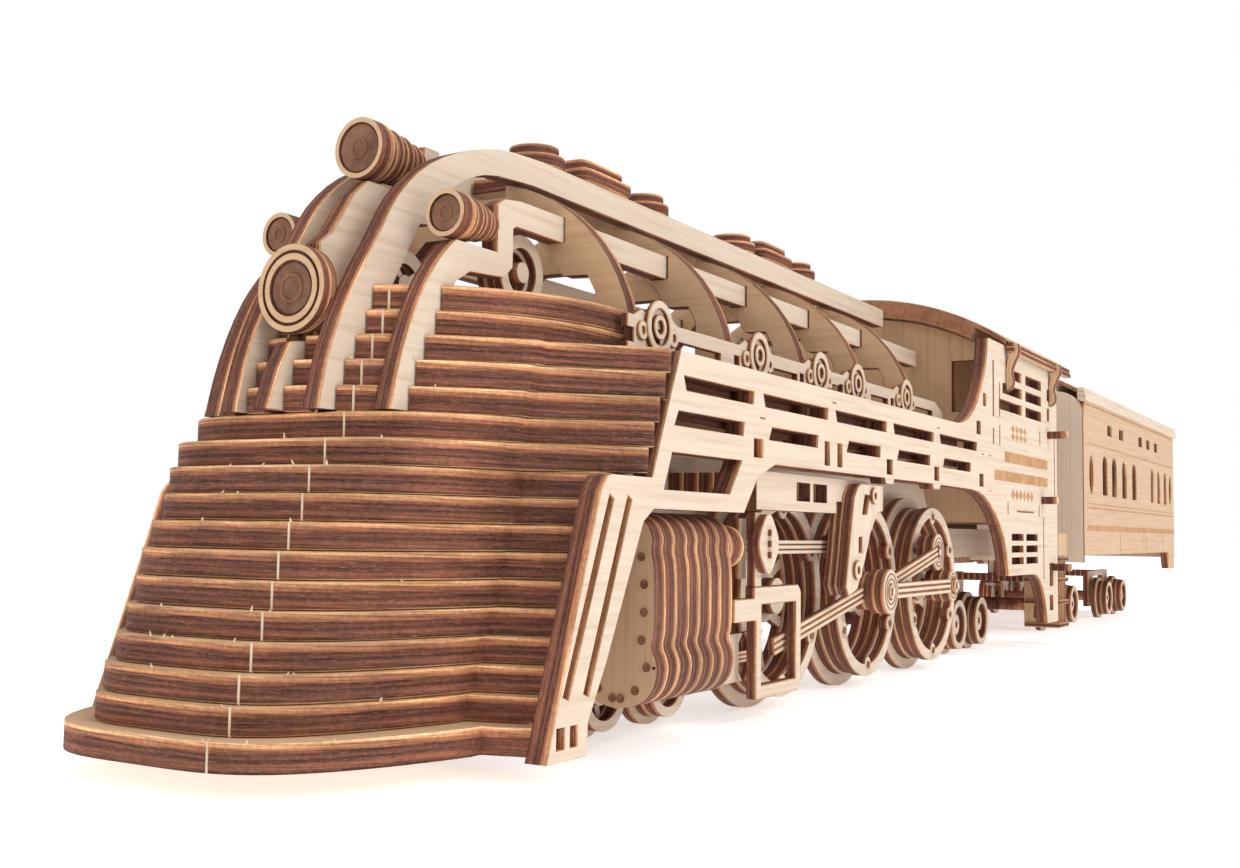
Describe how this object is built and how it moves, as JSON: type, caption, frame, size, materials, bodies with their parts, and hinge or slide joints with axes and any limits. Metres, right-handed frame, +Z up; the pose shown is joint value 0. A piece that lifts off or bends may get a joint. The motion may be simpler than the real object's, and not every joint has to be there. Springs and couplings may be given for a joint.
{
  "type": "wooden 3d jigsaw model",
  "caption": "Streamlined steam locomotive with passenger coach, slot-together plywood kit with stacked-layer nose, rails, turning wheels and working rods.",
  "frame": {"origin": "centre of the train's footprint, on the surface under the wheels", "axes": "+Y from the nose back along the train, +Z up, +X the locomotive's left side"},
  "size_m": [0.0948, 0.5704, 0.1096],
  "materials": {
    "face_ply": "sanded birch plywood face with burnt edges",
    "edge_ply": "laser-burnt plywood edge",
    "shaded_ply": "unsanded tan plywood face"
  },
  "bodies": {
    "locomotive": {"side_panel_left": "face_ply", "side_panel_right": "face_ply", "bumper_layer": "edge_ply", "nose_stack_lower": "edge_ply", "nose_stack_middle": "edge_ply", "rib_centre": "face_ply", "rib_inner_left": "face_ply", "rib_outer_left": "face_ply", "rib_inner_right": "face_ply", "rib_outer_right": "face_ply", "nose_stack_upper": "edge_ply", "headlight": "edge_ply", "top_lamp": "edge_ply", "side_lamp_left": "edge_ply", "side_lamp_right": "edge_ply", "bulkhead_1": "shaded_ply", "bulkhead_2": "shaded_ply", "bulkhead_3": "shaded_ply", "bulkhead_4": "shaded_ply", "bulkhead_5": "shaded_ply", "ornament_strip_left": "face_ply", "ornament_strip_right": "face_ply", "chassis_frame": "face_ply", "cylinder_left": "edge_ply", "cylinder_right": "edge_ply", "crosshead_guide_left": "face_ply", "crosshead_guide_right": "face_ply", "cab_front_wall": "shaded_ply", "cab_rear_wall": "shaded_ply", "cab_roof": "edge_ply", "roof_hatches": "edge_ply"},
    "driving_axle_1": {"driving_wheelset_1": "edge_ply"},
    "driving_axle_2": {"driving_wheelset_2": "edge_ply"},
    "driving_axle_3": {"driving_wheelset_3": "edge_ply"},
    "main_rod_left": {"main_rod_left": "face_ply"},
    "coupling_rod_left": {"coupling_rod_left": "face_ply"},
    "crosshead_left": {"crosshead_left": "face_ply"},
    "expansion_link_left": {"expansion_link_left": "face_ply"},
    "valve_rod_left": {"valve_rod_left": "face_ply"},
    "main_rod_right": {"main_rod_right": "face_ply"},
    "coupling_rod_right": {"coupling_rod_right": "face_ply"},
    "crosshead_right": {"crosshead_right": "face_ply"},
    "expansion_link_right": {"expansion_link_right": "face_ply"},
    "valve_rod_right": {"valve_rod_right": "face_ply"},
    "pilot_truck": {"pilot_truck_frame": "face_ply"},
    "trailing_truck": {"trailing_truck_frame": "face_ply"},
    "pilot_axle_1": {"pilot_wheelset_1": "edge_ply"},
    "trailing_axle_1": {"trailing_wheelset_1": "edge_ply"},
    "bogie_1": {"bogie_frame_1": "face_ply"},
    "pilot_axle_2": {"pilot_wheelset_2": "edge_ply"},
    "trailing_axle_2": {"trailing_wheelset_2": "edge_ply"},
    "bogie_2": {"bogie_frame_2": "face_ply"},
    "bogie_axle_1": {"bogie_wheelset_1": "edge_ply"},
    "bogie_axle_2": {"bogie_wheelset_2": "edge_ply"},
    "bogie_axle_3": {"bogie_wheelset_3": "edge_ply"},
    "bogie_axle_4": {"bogie_wheelset_4": "edge_ply"},
    "coach": {"coach_floor_and_ends": "face_ply", "coach_side_left": "face_ply", "coach_side_right": "face_ply", "coach_roof": "shaded_ply"}
  },
  "joints": [
    {"name": "driving_axle_2_spin", "type": "hinge", "parent": "locomotive", "child": "driving_axle_2", "pos_m": [0, -0.10796, 0.0224], "axis": [1, 0, 0], "continuous": true},
    {"name": "driving_axle_1_spin", "type": "hinge", "parent": "locomotive", "child": "driving_axle_1", "pos_m": [0, -0.15676, 0.0224], "axis": [1, 0, 0], "continuous": true},
    {"name": "driving_axle_3_spin", "type": "hinge", "parent": "locomotive", "child": "driving_axle_3", "pos_m": [0, -0.05916, 0.0224], "axis": [1, 0, 0], "continuous": true},
    {"name": "main_rod_left_pin", "type": "hinge", "parent": "driving_axle_2", "child": "main_rod_left", "pos_m": [0.038, -0.11736, 0.0224], "axis": [1, 0, 0], "continuous": true},
    {"name": "coupling_rod_left_pin", "type": "hinge", "parent": "driving_axle_2", "child": "coupling_rod_left", "pos_m": [0.038, -0.11736, 0.0224], "axis": [1, 0, 0], "continuous": true},
    {"name": "crosshead_left_slide", "type": "slide", "parent": "locomotive", "child": "crosshead_left", "axis": [0, 1, 0], "range_m": [0, 0.0188]},
    {"name": "expansion_link_left_swing", "type": "hinge", "parent": "locomotive", "child": "expansion_link_left", "pos_m": [0.042, -0.13156, 0.044], "axis": [1, 0, 0], "range_deg": [-6, 6]},
    {"name": "valve_rod_left_slide", "type": "slide", "parent": "locomotive", "child": "valve_rod_left", "axis": [0, 1, 0], "range_m": [-0.0013, 0.0013]},
    {"name": "main_rod_right_pin", "type": "hinge", "parent": "driving_axle_2", "child": "main_rod_right", "pos_m": [-0.038, -0.11736, 0.0224], "axis": [1, 0, 0], "continuous": true},
    {"name": "coupling_rod_right_pin", "type": "hinge", "parent": "driving_axle_2", "child": "coupling_rod_right", "pos_m": [-0.038, -0.11736, 0.0224], "axis": [1, 0, 0], "continuous": true},
    {"name": "crosshead_right_slide", "type": "slide", "parent": "locomotive", "child": "crosshead_right", "axis": [0, 1, 0], "range_m": [0, 0.0188]},
    {"name": "expansion_link_right_swing", "type": "hinge", "parent": "locomotive", "child": "expansion_link_right", "pos_m": [-0.042, -0.13156, 0.044], "axis": [1, 0, 0], "range_deg": [-6, 6]},
    {"name": "valve_rod_right_slide", "type": "slide", "parent": "locomotive", "child": "valve_rod_right", "axis": [0, 1, 0], "range_m": [-0.0013, 0.0013]},
    {"name": "pilot_truck_swivel", "type": "hinge", "parent": "locomotive", "child": "pilot_truck", "pos_m": [0, -0.20116, 0.0156], "axis": [0, 0, 1], "range_deg": [-5, 5]},
    {"name": "trailing_truck_swivel", "type": "hinge", "parent": "locomotive", "child": "trailing_truck", "pos_m": [0, 0.00284, 0.0156], "axis": [0, 0, 1], "range_deg": [-5, 5]},
    {"name": "pilot_axle_1_spin", "type": "hinge", "parent": "pilot_truck", "child": "pilot_axle_1", "pos_m": [0, -0.21236, 0.0088], "axis": [1, 0, 0], "continuous": true},
    {"name": "pilot_axle_2_spin", "type": "hinge", "parent": "pilot_truck", "child": "pilot_axle_2", "pos_m": [0, -0.18996, 0.0088], "axis": [1, 0, 0], "continuous": true},
    {"name": "trailing_axle_1_spin", "type": "hinge", "parent": "trailing_truck", "child": "trailing_axle_1", "pos_m": [0, -0.00916, 0.0088], "axis": [1, 0, 0], "continuous": true},
    {"name": "trailing_axle_2_spin", "type": "hinge", "parent": "trailing_truck", "child": "trailing_axle_2", "pos_m": [0, 0.01484, 0.0088], "axis": [1, 0, 0], "continuous": true},
    {"name": "coach_drawbar_hinge", "type": "hinge", "parent": "locomotive", "child": "coach", "pos_m": [0, 0.05244, 0.0268], "axis": [0, 0, 1], "range_deg": [-15, 15]},
    {"name": "bogie_1_swivel", "type": "hinge", "parent": "coach", "child": "bogie_1", "pos_m": [0, 0.13084, 0.0188], "axis": [0, 0, 1], "range_deg": [-12, 12]},
    {"name": "bogie_2_swivel", "type": "hinge", "parent": "coach", "child": "bogie_2", "pos_m": [0, 0.23484, 0.0188], "axis": [0, 0, 1], "range_deg": [-12, 12]},
    {"name": "bogie_axle_1_spin", "type": "hinge", "parent": "bogie_1", "child": "bogie_axle_1", "pos_m": [0, 0.11404, 0.0088], "axis": [1, 0, 0], "continuous": true},
    {"name": "bogie_axle_2_spin", "type": "hinge", "parent": "bogie_1", "child": "bogie_axle_2", "pos_m": [0, 0.14764, 0.0088], "axis": [1, 0, 0], "continuous": true},
    {"name": "bogie_axle_3_spin", "type": "hinge", "parent": "bogie_2", "child": "bogie_axle_3", "pos_m": [0, 0.21804, 0.0088], "axis": [1, 0, 0], "continuous": true},
    {"name": "bogie_axle_4_spin", "type": "hinge", "parent": "bogie_2", "child": "bogie_axle_4", "pos_m": [0, 0.25164, 0.0088], "axis": [1, 0, 0], "continuous": true}
  ],
  "couplings": [
    {"joint": "driving_axle_3_spin", "follows": "driving_axle_2_spin", "ratio": 1},
    {"joint": "main_rod_left_pin", "follows": "driving_axle_2_spin", "ratio": -1},
    {"joint": "coupling_rod_left_pin", "follows": "driving_axle_2_spin", "ratio": -1},
    {"joint": "valve_rod_left_slide", "follows": "expansion_link_left_swing", "m_per_rad": 0.01172},
    {"joint": "main_rod_right_pin", "follows": "driving_axle_2_spin", "ratio": -1},
    {"joint": "coupling_rod_right_pin", "follows": "driving_axle_2_spin", "ratio": -1},
    {"joint": "valve_rod_right_slide", "follows": "expansion_link_right_swing", "m_per_rad": 0.01172}
  ]
}
